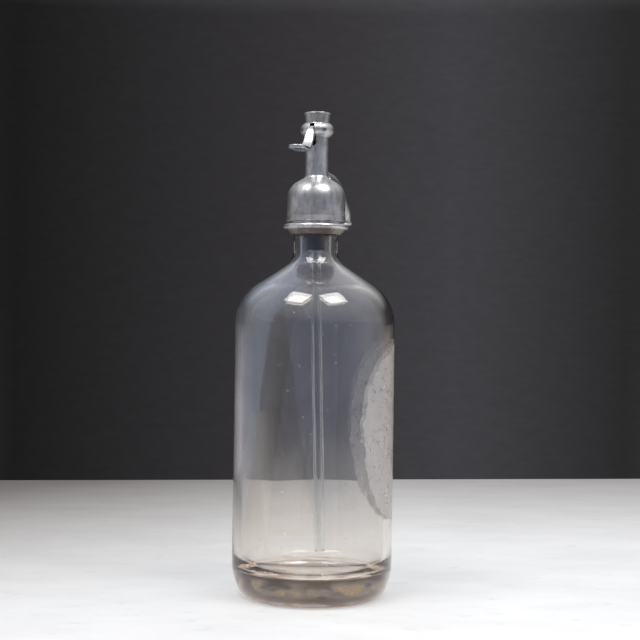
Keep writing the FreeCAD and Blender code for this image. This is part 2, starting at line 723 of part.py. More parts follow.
def oval(x, z, heading, half_width, half_thickness):
    """Rounded section across the lever's arm, square to its heading."""
    corner = 0.85 * min(half_width, half_thickness)
    flat_y = half_width - corner
    flat_n = half_thickness - corner
    angle = math.radians(heading)
    normal = FreeCAD.Vector(-math.sin(angle), 0, math.cos(angle))
    sideways = FreeCAD.Vector(0, 1, 0)
    centre = at(x, z)
    edges = []
    corners = ((1, 1, 0), (-1, 1, 90), (-1, -1, 180), (1, -1, 270))
    last = None
    for sign_y, sign_n, begin in corners:
        pivot = centre + sideways * (sign_y * flat_y) + normal * (sign_n * flat_n)
        points = []
        for step in (0, 45, 90):
            turn = math.radians(begin + step)
            points.append(pivot + sideways * (corner * math.cos(turn)) + normal * (corner * math.sin(turn)))
        if last is not None:
            edges.append(Part.makeLine(last, points[0]))
        edges.append(Part.Arc(*points).toShape())
        last = points[2]
    edges.append(Part.makeLine(last, edges[0].Vertexes[0].Point))
    return Part.Wire(edges)


def lever_arm():
    """Goose-neck arm from the slot down to the thumb pad."""
    pad_middle = PAD_BOTTOM + PAD_THICKNESS / 2
    stations = (
        (-11.4, 289.4, 216, 1.4, 1.9),
        (-13.3, 287.5, 233, 2.8, 1.8),
        (-14.9, 284.5, 238, 3.1, 1.6),
        (-17.3, 280.8, 230, 3.2, 1.45),
        (-20.6, 277.7, 210, 3.5, 1.3),
        (-25.6, pad_middle + 0.1, 182, 3.8, 0.95),
    )
    return Part.makeLoft([oval(*station) for station in stations], True, False)


def pad_outline(inset):
    """Outline of the thumb pad, seen from above."""
    half = PAD_HALF_WIDTH - inset
    neck = PAD_NECK_HALF_WIDTH - inset
    start = -PAD_START - inset
    centre = -PAD_END + PAD_HALF_WIDTH
    shoulder = -PAD_START - 6
    points = [
        FreeCAD.Vector(start, neck, 0), FreeCAD.Vector(shoulder, half, 0),
        FreeCAD.Vector(centre, half, 0), FreeCAD.Vector(centre - half, 0, 0),
        FreeCAD.Vector(centre, -half, 0), FreeCAD.Vector(shoulder, -half, 0),
        FreeCAD.Vector(start, -neck, 0)]
    edges = [
        Part.makeLine(points[0], points[1]),
        Part.makeLine(points[1], points[2]),
        Part.Arc(points[2], points[3], points[4]).toShape(),
        Part.makeLine(points[4], points[5]),
        Part.makeLine(points[5], points[6]),
        Part.makeLine(points[6], points[0])]
    return Part.Face(Part.Wire(edges))


def lever_pad():
    """Thumb pad with a rounded rim and a shallow dish underneath."""
    pad = pad_outline(0).extrude(FreeCAD.Vector(0, 0, PAD_THICKNESS))
    rims = [edge for edge in pad.Edges if abs(edge.BoundBox.ZLength) < 1e-6]
    pad = pad.makeFillet(0.7, rims)
    dish = pad_outline(PAD_RIM).extrude(FreeCAD.Vector(0, 0, PAD_DISH_DEPTH))
    pad = pad.cut(dish)
    pad.translate(FreeCAD.Vector(0, 0, PAD_BOTTOM))
    return pad


def lever():
    """Cast lever: blade, arm and pad in one piece, bored for its pin."""
    body = lever_blade().fuse([lever_arm(), lever_pad()])
    return body.cut(pin_bar(PIN_RADIUS + PIN_RUNNING_FIT, 2 * LEVER_BLADE_WIDTH))


def lever_pin():
    """Pin across the bulge, its ends dressed flush with the casting."""
    casting = turned(head_outline() + [(0, HEAD_TOP), (0, SKIRT_BOTTOM)])
    return pin_bar(PIN_RADIUS, 4 * BULGE_RADIUS).common(casting)


NODES = {
    "glass_bottle": glass_bottle,
    "collar_liner": collar_liner,
    "neck_gasket": neck_gasket,
    "head": head,
    "spout": spout,
    "dip_tube": dip_tube,
    "tube_grommet": tube_grommet,
    "tube_ferrule": tube_ferrule,
    "valve_seat": valve_seat,
    "valve_washer": valve_washer,
    "washer_screw": washer_screw,
    "plunger": plunger,
    "stem_packing": stem_packing,
    "gland_nut": gland_nut,
    "plunger_spring": plunger_spring,
    "spring_seat": spring_seat,
    "top_cap": top_cap,
    "lever": lever,
    "lever_pin": lever_pin,
}

for name, make in NODES.items():
    save(name, make())
save("collar_half_a", collar_half(1))
save("collar_half_b", collar_half(-1))
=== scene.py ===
import bpy
import bmesh
import math
from mathutils import Matrix, Vector


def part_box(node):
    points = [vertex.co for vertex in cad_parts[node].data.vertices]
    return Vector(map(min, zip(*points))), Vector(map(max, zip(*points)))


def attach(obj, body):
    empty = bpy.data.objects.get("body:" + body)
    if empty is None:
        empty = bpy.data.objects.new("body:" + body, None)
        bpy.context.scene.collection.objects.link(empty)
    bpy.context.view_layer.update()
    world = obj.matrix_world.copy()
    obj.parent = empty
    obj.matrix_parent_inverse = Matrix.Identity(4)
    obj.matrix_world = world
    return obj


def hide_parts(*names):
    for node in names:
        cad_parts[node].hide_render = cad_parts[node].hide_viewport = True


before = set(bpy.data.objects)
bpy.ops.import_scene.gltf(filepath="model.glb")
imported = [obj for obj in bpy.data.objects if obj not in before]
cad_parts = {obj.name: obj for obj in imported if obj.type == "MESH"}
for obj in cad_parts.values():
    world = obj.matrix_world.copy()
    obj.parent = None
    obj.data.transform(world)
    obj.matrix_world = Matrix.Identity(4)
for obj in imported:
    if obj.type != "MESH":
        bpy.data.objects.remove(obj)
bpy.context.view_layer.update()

MM = 0.001

# Bottle sizes read from the frame, in metres
GLASS_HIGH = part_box("glass_bottle")[1]
GLASS_RADIUS = GLASS_HIGH.x
LIP_HEIGHT = GLASS_HIGH.z

# Bottle outline, as the glass maker would draw it, in metres
GLASS_WALL = 4.8 * MM
HEEL_RADIUS = 38 * MM
HEEL_TOP = 22 * MM
FOOT_ROUND = 3 * MM
FOOT_FLAT = 1.6 * MM
KICK_HEIGHT = 5 * MM
FLOOR_HEIGHT = 17 * MM
FLOOR_CORNER = 10 * MM
SHOULDER_START = 169.4 * MM
SHOULDER_RADIUS = 30 * MM
SHOULDER_SLOPE = math.radians(33)
NECK_RADIUS = 13.8 * MM
NECK_FILLET = 11 * MM
FINISH_START = 226.2 * MM
FINISH_RADIUS = 15 * MM
FINISH_TOP = 228.4 * MM
LIP_ROUND = 1.4 * MM
OUTLINE_STEP = 1.6 * MM
LONGEST_RUN = 4 * OUTLINE_STEP
BOTTLE_SEGMENTS = 160

# Outline points past the top of the lip that still count as the outside
POINTS_OVER_LIP = 8

# Points closer than these are joined: on the lathe's seam and axis, then in the finished mesh
SEAM_DISTANCE = 0.002 * MM
WELD_DISTANCE = 0.001 * MM

# How far blown glass wavers from its drawing: little outside, where the mould held it
OUTER_WAVER = 0.10 * MM
INNER_WAVER = 0.45 * MM
WAVER_SIZE = 45 * MM

# Etched panel on the glass
PANEL_ANGLE = math.radians(-69)
PANEL_HALF_ARC = math.radians(58)
PANEL_MIDDLE = 103 * MM
PANEL_HALF_HEIGHT = 58 * MM
PANEL_SQUARENESS = 2.4
PANEL_WOBBLE = 0.34

# Lime bloom inside the bottle: the share of light that it scatters, and the height it varies over
BLOOM_LEAST = 0.11
BLOOM_MOST = 0.18
BLOOM_REACH = 240 * MM

# Height over which the painted highlight and painted amber light on the heel run out
HEEL_LIGHT_REACH = 20 * MM

# Painted shade on the collar's taper, below its bead, in dark brown
SHADE_TOP = 228.3 * MM

# Camera, from the photograph's perspective
CAMERA_AZIMUTH = math.radians(-71)
CAMERA_DISTANCE = 850 * MM
CAMERA_HEIGHT = 172 * MM
CAMERA_ROLL = math.radians(0.75)
IMAGE_SIZE = 640
FOCAL_PIXELS = 1357.6
AXIS_PIXELS = -5.15
SENSOR = 36.0
NEAR_CLIP = 10 * MM

# Floor, in metres: its reach from the bottle, how its back edge slants, and the gap under the foot
FLOOR_BEHIND = 0.614
FLOOR_FRONT = 1.6
FLOOR_HALF_WIDTH = 1.7
FLOOR_SLANT = -0.13
FLOOR_GAP = 0.15 * MM

# Floor colour with painted shade, from the wall towards the camera, in metres from a metre behind the bottle
FADE_START = 1.0
FADE_LENGTH = 2.6
FLOOR_SHADE_FADE = [
    (0.0, "#706b69"), (0.1, "#7a7673"), (0.4, "#b4b1af"), (0.8, "#ebebeb"), (1.12, "#f6f6f6"),
    (1.3, "#e6e6e6"), (1.55, "#b5b6b8"), (1.9, "#8e9096"), (2.6, "#83868e")]

# Floor: share of its paleness that is its own, where it is seen, and through or in the object
FLOOR_OWN_SHARE = 0.45
FLOOR_MIRRORED_SHARE = 0.9

# Wall and room round the bottle: degrees from straight behind it, to the right, and colour
BACK_WALL = [(-12.7, "#1d1d1d"), (0, "#3a383b"), (6, "#444347"), (12.6, "#2d2c2d")]
ROOM_ABOVE = [
    (20, "#2b2a2b"), (50, "#403f41"), (72, "#a9a9ad"), (95, "#c0c4ce"), (130, "#979dac"), (180, "#7a7f8d")]
ROOM_BELOW = [
    (18, "#3d3b3c"), (30, "#a39a93"), (62, "#b9b7b7"), (95, "#bcbfc8"), (130, "#979ba6"), (180, "#83868e")]
CEILING = "#e6e9ef"
WALL_GRAIN = 0.012

# Soft boxes, in metres: place from the bottle, size, and power in watts
LAMP_SIDES = {"soft_box_left": -0.39, "soft_box_right": 0.42}
LAMP_FORWARD = 0.42
LAMP_HEIGHT = 1.2
LAMP_AIM_HEIGHT = 0.15
LAMP_WIDTH = 0.52
LAMP_DEPTH = 0.5
LAMP_POWER = 6.6

TOWARDS_CAMERA = Vector((math.sin(CAMERA_AZIMUTH), -math.cos(CAMERA_AZIMUTH), 0))
TO_THE_RIGHT = Vector((math.cos(CAMERA_AZIMUTH), math.sin(CAMERA_AZIMUTH), 0))
UP = Vector((0, 0, 1))


def srgb(code):
    """Linear colour from an sRGB hex value."""
    channels = []
    for start in (1, 3, 5):
        value = int(code[start:start + 2], 16) / 255
        if value <= 0.04045:
            channels.append(value / 12.92)
        else:
            channels.append(((value + 0.055) / 1.055) ** 2.4)
    return (*channels, 1.0)


def add(tree, kind, inputs=None, **settings):
    """One node: its settings, then its inputs, each a value or the socket that feeds it."""
    made = tree.nodes.new(kind)
    for name, value in settings.items():
        setattr(made, name, value)
    for name, value in (inputs or {}).items():
        socket = made.inputs[name]
        if isinstance(value, bpy.types.NodeSocket):
            tree.links.new(value, socket)
        else:
            socket.default_value = value
    return made


def new_material(name):
    """Empty material with its tree and output."""
    made = bpy.data.materials.new(name)
    made.use_nodes = True
    made.node_tree.nodes.clear()
    output = add(made.node_tree, "ShaderNodeOutputMaterial")
    return made, made.node_tree, output


def ramp(tree, factor, stops):
    """Colour ramp with stops of position and hex colour or grey value."""
    made = add(tree, "ShaderNodeValToRGB", {"Fac": factor})
    elements = made.color_ramp.elements
    while len(elements) < len(stops):
        elements.new(0.5)
    for element, (position, colour) in zip(elements, stops):
        element.position = position
        element.color = srgb(colour) if isinstance(colour, str) else (colour, colour, colour, 1)
    return made.outputs["Color"]


def mixed(tree, factor, first, second):
    """Colour blend of two colours or sockets."""
    made = add(tree, "ShaderNodeMix", data_type="RGBA")
    for index, value in ((0, factor), (6, first), (7, second)):
        if isinstance(value, bpy.types.NodeSocket):
            tree.links.new(value, made.inputs[index])
        else:
            made.inputs[index].default_value = value
    return made.outputs[2]


def maths(tree, operation, *values):
    """One sum on numbers or sockets."""
    made = add(tree, "ShaderNodeMath", dict(enumerate(values)), operation=operation)
    return made.outputs[0]


def object_coordinates(tree, scale=(1, 1, 1)):
    """Object coordinates stretched by a scale."""
    place = add(tree, "ShaderNodeTexCoord").outputs["Object"]
    return add(tree, "ShaderNodeMapping", {"Vector": place, "Scale": scale}).outputs["Vector"]


def noise(tree, vector, size, detail=4.0, roughness=0.55):
    """Noise whose largest features are about size metres across."""
    return add(tree, "ShaderNodeTexNoise", {
        "Vector": vector, "Scale": 1 / size, "Detail": detail, "Roughness": roughness}).outputs["Fac"]


def finished(made, tree, output, shader, tint=None):
    """The material, once its surface and any tint in its depth reach the output."""
    tree.links.new(shader.outputs[0], output.inputs["Surface"])
    if tint:
        tree.links.new(tint.outputs[0], output.inputs["Volume"])
    return made


def cast_pewter(name, light, dark, stain_and_heel_light, roughness=(0.26, 0.42), stain_amount=0.6, shaded_below=0.0):
    """Cast white metal, scraped and polished by hand: soft highlights, mottled grey tarnish,
    dark pits from the mould, brown stains in patches, and painted shade below a height where one is given.
    The pits come from a 1.5 mm pattern, coarser than most real ones, so that they show."""
    made, tree, output = new_material(name)
    place = object_coordinates(tree)
    patches = noise(tree, place, 9 * MM, detail=6)
    specks = noise(tree, place, 0.9 * MM, detail=3)
    streaks = noise(tree, object_coordinates(tree, (1, 1, 0.25)), 2.5 * MM, detail=5)
    pits = ramp(tree, noise(tree, place, 1.5 * MM, detail=4, roughness=0.7), [(0.62, 0.0), (0.72, 0.7)])
    tarnish = ramp(tree, patches, [(0.38, light), (0.64, dark)])
    stain_mask = maths(tree, "MULTIPLY", ramp(tree, streaks, [(0.5, 0.0), (0.72, 1.0)]), stain_amount)
    base = mixed(tree, stain_mask, tarnish, srgb(stain_and_heel_light))
    base = mixed(tree, pits, base, srgb("#3a3532"))
    height_up = add(tree, "ShaderNodeSeparateXYZ", {"Vector": place}).outputs[2]
    # Painted shade: the metal turns dark brown below the given height
    painted_shade_below = maths(tree, "LESS_THAN", height_up, shaded_below)
    base = mixed(tree, maths(tree, "MULTIPLY", painted_shade_below, 0.75), base, srgb("#6b5a4e"))
    polish = ramp(tree, patches, [(0.3, roughness[0]), (0.7, roughness[1])])
    rough = maths(tree, "ADD", polish, maths(tree, "MULTIPLY", specks, 0.12))
    height = maths(tree, "ADD", maths(tree, "MULTIPLY", specks, 0.35), streaks)
    height = maths(tree, "SUBTRACT", height, maths(tree, "MULTIPLY", pits, 0.6))
    bump = add(tree, "ShaderNodeBump", {"Height": height, "Strength": 0.28, "Distance": 0.15 * MM})
    shader = add(tree, "ShaderNodeBsdfPrincipled", {
        "Base Color": base, "Metallic": 1.0, "Roughness": rough, "Normal": bump.outputs["Normal"]})
    return finished(made, tree, output, shader)


def panel_mask(tree, outside):
    """How deeply the glass is etched: an upright oval on the outside with a wavy border, a fainter
    etched rim round its upper half, and flecks where it is worn through."""
    place = add(tree, "ShaderNodeTexCoord").outputs["Object"]
    wobble = noise(tree, place, 9 * MM, detail=5)
    turned = add(tree, "ShaderNodeVectorRotate", {
        "Vector": place, "Axis": (0, 0, 1), "Angle": -PANEL_ANGLE}, rotation_type="AXIS_ANGLE")
    x, y, z = add(tree, "ShaderNodeSeparateXYZ", {"Vector": turned.outputs[0]}).outputs
    angle = maths(tree, "ARCTAN2", y, x)
    turn = maths(tree, "DIVIDE", angle, PANEL_HALF_ARC)
    across = maths(tree, "POWER", maths(tree, "ABSOLUTE", turn), PANEL_SQUARENESS)
    rise = maths(tree, "DIVIDE", maths(tree, "SUBTRACT", z, PANEL_MIDDLE), PANEL_HALF_HEIGHT)
    upright = maths(tree, "POWER", maths(tree, "ABSOLUTE", rise), PANEL_SQUARENESS)
    wander = maths(tree, "MULTIPLY", maths(tree, "SUBTRACT", wobble, 0.5), PANEL_WOBBLE)
    distance = maths(tree, "ADD", maths(tree, "ADD", across, upright), wander)
    core = ramp(tree, distance, [(0.84, 1.0), (0.88, 0.0)])
    rim = maths(tree, "MULTIPLY", ramp(tree, distance, [(0.97, 0.42), (1.0, 0.0)]),
                ramp(tree, maths(tree, "MULTIPLY_ADD", rise, 0.5, 0.5), [(0.42, 0.0), (0.52, 1.0)]))
    field = maths(tree, "MAXIMUM", core, rim)
    flecks = ramp(tree, noise(tree, object_coordinates(tree, (1, 1, 0.6)), 3.2 * MM, detail=6, roughness=0.7),
                  [(0.54, 1.0), (0.62, 0.3)])
    mottle = ramp(tree, noise(tree, place, 8 * MM, detail=5), [(0.3, 0.6), (0.7, 1.0)])
    depth = maths(tree, "MULTIPLY", maths(tree, "MULTIPLY", field, flecks), mottle)
    return maths(tree, "MULTIPLY", depth, outside)


def blown_glass():
    """Soda-lime glass blown in a mould: clear outside, a bluish lime bloom inside, a straw tint that
    deepens in the thick base, a painted highlight on the heel's rim and painted amber light above it,
    upright flow lines, and a panel etched matt with acid. Its seeds are up to 1 mm across, coarser
    than most real ones, so that they show."""
    made, tree, output = new_material("mould_blown_soda_lime_glass")
    place = object_coordinates(tree)
    inside = add(tree, "ShaderNodeAttribute", attribute_name="inside").outputs["Fac"]
    outside = maths(tree, "SUBTRACT", 1.0, inside)
    etched = panel_mask(tree, outside)
    grit = noise(tree, place, 1.2 * MM, detail=3)
    cloud = noise(tree, place, 16 * MM, detail=5)
    runs = noise(tree, object_coordinates(tree, (1, 1, 0.05)), 3 * MM, detail=5)
    flow = noise(tree, object_coordinates(tree, (1, 1, 0.08)), 5 * MM, detail=3)
    blots = noise(tree, object_coordinates(tree, (1, 1, 2.2)), 19 * MM, detail=2)
    seed = add(tree, "ShaderNodeTexVoronoi", {"Vector": place, "Scale": 1 / (6 * MM), "Randomness": 1.0})
    seeds = ramp(tree, seed.outputs["Distance"], [(0.045, 0.4), (0.085, 0.0)])

    # Bloom: strongest in the lower body, almost none in the neck
    height_up = add(tree, "ShaderNodeSeparateXYZ", {"Vector": place}).outputs[2]
    up_bottle = maths(tree, "DIVIDE", height_up, BLOOM_REACH)
    bloom = maths(tree, "MULTIPLY", ramp(tree, cloud, [(0.3, BLOOM_LEAST), (0.75, BLOOM_MOST)]), inside)
    bloom = maths(tree, "MULTIPLY", bloom, ramp(tree, up_bottle, [
        (0.06, 0.25), (0.16, 0.8), (0.35, 1.0), (0.72, 0.72), (0.86, 0.1)]))
    bloom = maths(tree, "MULTIPLY", bloom, ramp(tree, runs, [(0.3, 0.7), (0.7, 1.0)]))

    # Heel: a painted highlight on the rim, a clear line, then blots of painted amber light
    up_heel = maths(tree, "DIVIDE", height_up, HEEL_LIGHT_REACH)
    heel_light = ramp(tree, up_heel, [
        (0.12, 0.30), (0.19, 0.04), (0.30, 0.03), (0.44, 0.18), (0.68, 0.18), (0.85, 0.03), (1.0, 0.0)])
    heel_light = maths(tree, "MULTIPLY", heel_light, ramp(tree, blots, [(0.44, 0.25), (0.60, 2.4)]))
    # Grit breaks up the heel's painted highlight and painted amber light
    heel_light_grit = maths(tree, "MULTIPLY", ramp(tree, grit, [(0.3, 0.6), (0.7, 1.0)]), outside)
    heel_light = maths(tree, "MULTIPLY", heel_light, heel_light_grit)

    veil = maths(tree, "MAXIMUM", maths(tree, "MAXIMUM", bloom, heel_light), seeds)
    body = maths(tree, "MAXIMUM", veil, maths(tree, "MULTIPLY", etched, 0.52))
    clear = maths(tree, "SUBTRACT", 1.0, body)
    worn = maths(tree, "MULTIPLY", ramp(tree, cloud, [(0.45, 0.0), (0.75, 0.05)]), inside)
    rough = maths(tree, "ADD", maths(tree, "MULTIPLY", etched, 0.5), worn)
    lime = ramp(tree, up_bottle, [(0.16, "#f8f7f6"), (0.42, "#dfe6f8")])
    # Colours of the painted highlight on the heel's rim and of the painted amber light above it
    stain_and_heel_light = ramp(tree, up_heel, [(0.14, "#e0d0c6"), (0.32, "#e4bd74")])
    base = mixed(tree, inside, srgb("#fdfcfa"), lime)
    base = mixed(tree, maths(tree, "MULTIPLY", heel_light, 2.2), base, stain_and_heel_light)
    base = mixed(tree, etched, base, srgb("#ddd6d0"))
    height = maths(tree, "ADD", maths(tree, "MULTIPLY", flow, 0.6), maths(tree, "MULTIPLY", grit, etched))
    bump = add(tree, "ShaderNodeBump", {"Height": height, "Strength": 0.12, "Distance": 0.3 * MM})
    fire_polish = maths(tree, "MULTIPLY", outside, 0.5)
    shader = add(tree, "ShaderNodeBsdfPrincipled", {
        "Base Color": base, "Roughness": rough, "IOR": 1.52, "Transmission Weight": clear,
        "Coat Weight": fire_polish, "Coat Roughness": 0.03, "Normal": bump.outputs["Normal"]})
    tint = add(tree, "ShaderNodeVolumeAbsorption", {"Color": srgb("#e8b25c"), "Density": 9.0})
    return finished(made, tree, output, shader, tint)


def drawn_glass():
    """Drawn glass tube: clear, a little lime on it, faint lines along its length."""
    made, tree, output = new_material("drawn_glass_tube")
    lines = noise(tree, object_coordinates(tree, (1, 1, 0.03)), 1.5 * MM, detail=3)
    bump = add(tree, "ShaderNodeBump", {"Height": lines, "Strength": 0.1, "Distance": 0.2 * MM})
    lime = noise(tree, object_coordinates(tree), 4 * MM, detail=5)
    rough = ramp(tree, lime, [(0.45, 0.0), (0.75, 0.08)])
    shader = add(tree, "ShaderNodeBsdfPrincipled", {
        "Base Color": srgb("#f6f8f8"), "Roughness": rough, "IOR": 1.45,
        "Transmission Weight": 1.0, "Normal": bump.outputs["Normal"]})
    tint = add(tree, "ShaderNodeVolumeAbsorption", {"Color": srgb("#dce6e2"), "Density": 20.0})
    return finished(made, tree, output, shader, tint)


def moulded_rubber():
    """Old moulded rubber: black, matt, with a grey bloom."""
    made, tree, output = new_material("moulded_black_rubber")
    bloom = noise(tree, object_coordinates(tree), 3 * MM, detail=5)
    base = ramp(tree, bloom, [(0.35, "#151312"), (0.75, "#2c2826")])
    bump = add(tree, "ShaderNodeBump", {"Height": bloom, "Strength": 0.3, "Distance": 0.1 * MM})
    shader = add(tree, "ShaderNodeBsdfPrincipled", {
        "Base Color": base, "Roughness": 0.6, "IOR": 1.52, "Normal": bump.outputs["Normal"]})
    return finished(made, tree, output, shader)


def turned_metal(name, light, dark, roughness):
    """Metal turned on a lathe: rings round the axis and a little tarnish. The rings come from a
    0.4 mm pattern, coarser than fine turning, so that they show."""
    made, tree, output = new_material(name)
    rings = noise(tree, object_coordinates(tree, (0.05, 0.05, 1)), 0.4 * MM, detail=2)
    patches = noise(tree, object_coordinates(tree), 4 * MM, detail=5)
    base = ramp(tree, patches, [(0.35, light), (0.7, dark)])
    rough = maths(tree, "ADD", maths(tree, "MULTIPLY", patches, 0.2), roughness)
    bump = add(tree, "ShaderNodeBump", {"Height": rings, "Strength": 0.2, "Distance": 0.05 * MM})
    shader = add(tree, "ShaderNodeBsdfPrincipled", {
        "Base Color": base, "Metallic": 1.0, "Roughness": rough, "Normal": bump.outputs["Normal"]})
    return finished(made, tree, output, shader)


def cut_leather():
    """Tallowed leather packing: dark brown with a fibrous cut edge."""
    made, tree, output = new_material("cut_leather")
    fibres = noise(tree, object_coordinates(tree), 0.8 * MM, detail=6)
    base = ramp(tree, fibres, [(0.3, "#3a2415"), (0.7, "#5d3d25")])
    bump = add(tree, "ShaderNodeBump", {"Height": fibres, "Strength": 0.4, "Distance": 0.1 * MM})
    shader = add(tree, "ShaderNodeBsdfPrincipled", {
        "Base Color": base, "Roughness": 0.7, "Normal": bump.outputs["Normal"]})
    return finished(made, tree, output, shader)


def painted_floor():
    """Pale painted floor: brushed streaks and scuffs, with painted shade, darker towards the wall,
    far out in front and to the left. A share of the paleness is its own glow, so that it shows in
    glass and metal, and the object's shadow lies on the rest."""
    made, tree, output = new_material("pale_painted_floor")
    place = object_coordinates(tree)
    depth = add(tree, "ShaderNodeVectorMath", {0: place, 1: tuple(TOWARDS_CAMERA)}, operation="DOT_PRODUCT")
    side = add(tree, "ShaderNodeVectorMath", {0: place, 1: tuple(TO_THE_RIGHT)}, operation="DOT_PRODUCT")
    # Painted shade towards the left
    left = ramp(tree, maths(tree, "MULTIPLY_ADD", side.outputs["Value"], 0.5, 0.5), [
        (0.12, 0.0), (0.30, 0.50), (0.54, 0.0)])
    # Painted shade: the floor darkens towards the wall and far out in front
    reach = maths(tree, "SUBTRACT", maths(tree, "ADD", depth.outputs["Value"], FADE_START), left)
    stops = [(metres / FADE_LENGTH, colour) for metres, colour in FLOOR_SHADE_FADE]
    shade_fade = ramp(tree, maths(tree, "DIVIDE", reach, FADE_LENGTH), stops)
    turn = add(tree, "ShaderNodeVectorRotate", {
        "Vector": place, "Axis": (0, 0, 1), "Angle": -CAMERA_AZIMUTH}, rotation_type="AXIS_ANGLE").outputs[0]
    brushed = add(tree, "ShaderNodeMapping", {"Vector": turn, "Scale": (0.5, 1, 1)}).outputs["Vector"]
    streaks = noise(tree, brushed, 45 * MM, detail=8, roughness=0.62)
    scuffs = noise(tree, brushed, 12 * MM, detail=6, roughness=0.7)
    marks = maths(tree, "MULTIPLY", ramp(tree, streaks, [(0.35, 0.93), (0.60, 1.0)]),
                  ramp(tree, scuffs, [(0.30, 0.86), (0.42, 1.0)]))
    colour = add(tree, "ShaderNodeVectorMath", {0: shade_fade, "Scale": marks}, operation="SCALE").outputs[0]
    paint = add(tree, "ShaderNodeBsdfPrincipled", {
        "Base Color": colour, "Roughness": 0.7, "Specular IOR Level": 0.15})
    glow = add(tree, "ShaderNodeEmission", {"Color": colour, "Strength": 1.0})
    path = add(tree, "ShaderNodeLightPath").outputs
    mirrored = maths(tree, "MAXIMUM", path["Is Glossy Ray"], path["Is Transmission Ray"])
    share = maths(tree, "MAXIMUM", maths(tree, "MULTIPLY", path["Is Camera Ray"], FLOOR_OWN_SHARE),
                  maths(tree, "MULTIPLY", mirrored, FLOOR_MIRRORED_SHARE))
    both = add(tree, "ShaderNodeMixShader", {0: share, 1: paint.outputs[0], 2: glow.outputs[0]})
    return finished(made, tree, output, both)


def arc(x, z, radius, start, end):
    """Points along an arc in the outline's plane, angles in degrees."""
    sweep = math.radians(end - start)
    steps = max(6, math.ceil(abs(sweep) * radius / OUTLINE_STEP))
    points = []
    for step in range(steps + 1):
        angle = math.radians(start) + sweep * step / steps
        points.append((x + radius * math.cos(angle), z + radius * math.sin(angle)))
    return points


def with_long_runs_divided(points):
    """The same outline with no run longer than a few steps."""
    result = [points[0]]
    for point in points[1:]:
        last = result[-1]
        length = math.hypot(point[0] - last[0], point[1] - last[1])
        pieces = max(1, math.ceil(length / LONGEST_RUN))
        for piece in range(1, pieces + 1):
            share = piece / pieces
            x = last[0] + (point[0] - last[0]) * share
            result.append((x, last[1] + (point[1] - last[1]) * share))
    return result


def bottle_outline():
    """Half section of the bottle, from the middle of the foot round to the middle of the floor."""
    heel_x = GLASS_RADIUS - HEEL_RADIUS
    foot_x = heel_x + math.sqrt((HEEL_RADIUS - FOOT_ROUND) ** 2 - (HEEL_TOP - FOOT_ROUND) ** 2)
    heel_angle = math.degrees(math.atan2(FOOT_ROUND - HEEL_TOP, foot_x - heel_x))
    edge_x = foot_x - FOOT_FLAT + FOOT_ROUND * math.cos(math.radians(225))
    edge_z = FOOT_ROUND + FOOT_ROUND * math.sin(math.radians(225))
    rise = KICK_HEIGHT - edge_z
    kick_radius = (edge_x ** 2 + rise ** 2) / (2 * rise)
    kick_angle = math.degrees(math.acos(edge_x / kick_radius))
    slope = math.degrees(SHOULDER_SLOPE)
    shoulder_x = GLASS_RADIUS - SHOULDER_RADIUS
    neck_x = NECK_RADIUS + NECK_FILLET
    across = math.sin(SHOULDER_SLOPE)
    upward = math.cos(SHOULDER_SLOPE)
    along = across * shoulder_x + upward * SHOULDER_START
    neck_z = (along + SHOULDER_RADIUS + NECK_FILLET - across * neck_x) / upward
    bore = NECK_RADIUS - GLASS_WALL
    inside = GLASS_RADIUS - GLASS_WALL
    points = arc(0, KICK_HEIGHT - kick_radius, kick_radius, 90, kick_angle)
    points += arc(foot_x - FOOT_FLAT, FOOT_ROUND, FOOT_ROUND, 225, 270)[1:]
    points += arc(foot_x, FOOT_ROUND, FOOT_ROUND, 270, 360 + heel_angle)
    points += arc(heel_x, HEEL_TOP, HEEL_RADIUS, heel_angle, 0)[1:]
    points += arc(shoulder_x, SHOULDER_START, SHOULDER_RADIUS, 0, 90 - slope)
    points += arc(neck_x, neck_z, NECK_FILLET, 270 - slope, 180)
    points += [(NECK_RADIUS, FINISH_START), (FINISH_RADIUS, FINISH_TOP)]
    points += arc(FINISH_RADIUS - LIP_ROUND, LIP_HEIGHT - LIP_ROUND, LIP_ROUND, 0, 90)
    points += arc(bore + LIP_ROUND, LIP_HEIGHT - LIP_ROUND, LIP_ROUND, 90, 180)
    points += arc(neck_x, neck_z, NECK_FILLET + GLASS_WALL, 180, 270 - slope)
    points += arc(shoulder_x, SHOULDER_START, SHOULDER_RADIUS - GLASS_WALL, 90 - slope, 0)
    points += arc(inside - FLOOR_CORNER, FLOOR_HEIGHT + FLOOR_CORNER, FLOOR_CORNER, 0, -90)
    points += [(0, FLOOR_HEIGHT)]
    return with_long_runs_divided(points)


def outline_object(name, points):
    """Open chain of vertices that a lathe tree can read."""
    mesh = bpy.data.meshes.new(name)
    mesh.from_pydata([(x, 0, z) for x, z in points], [(i, i + 1) for i in range(len(points) - 1)], [])
    made = bpy.data.objects.new(name, mesh)
    bpy.context.scene.collection.objects.link(made)
    return made


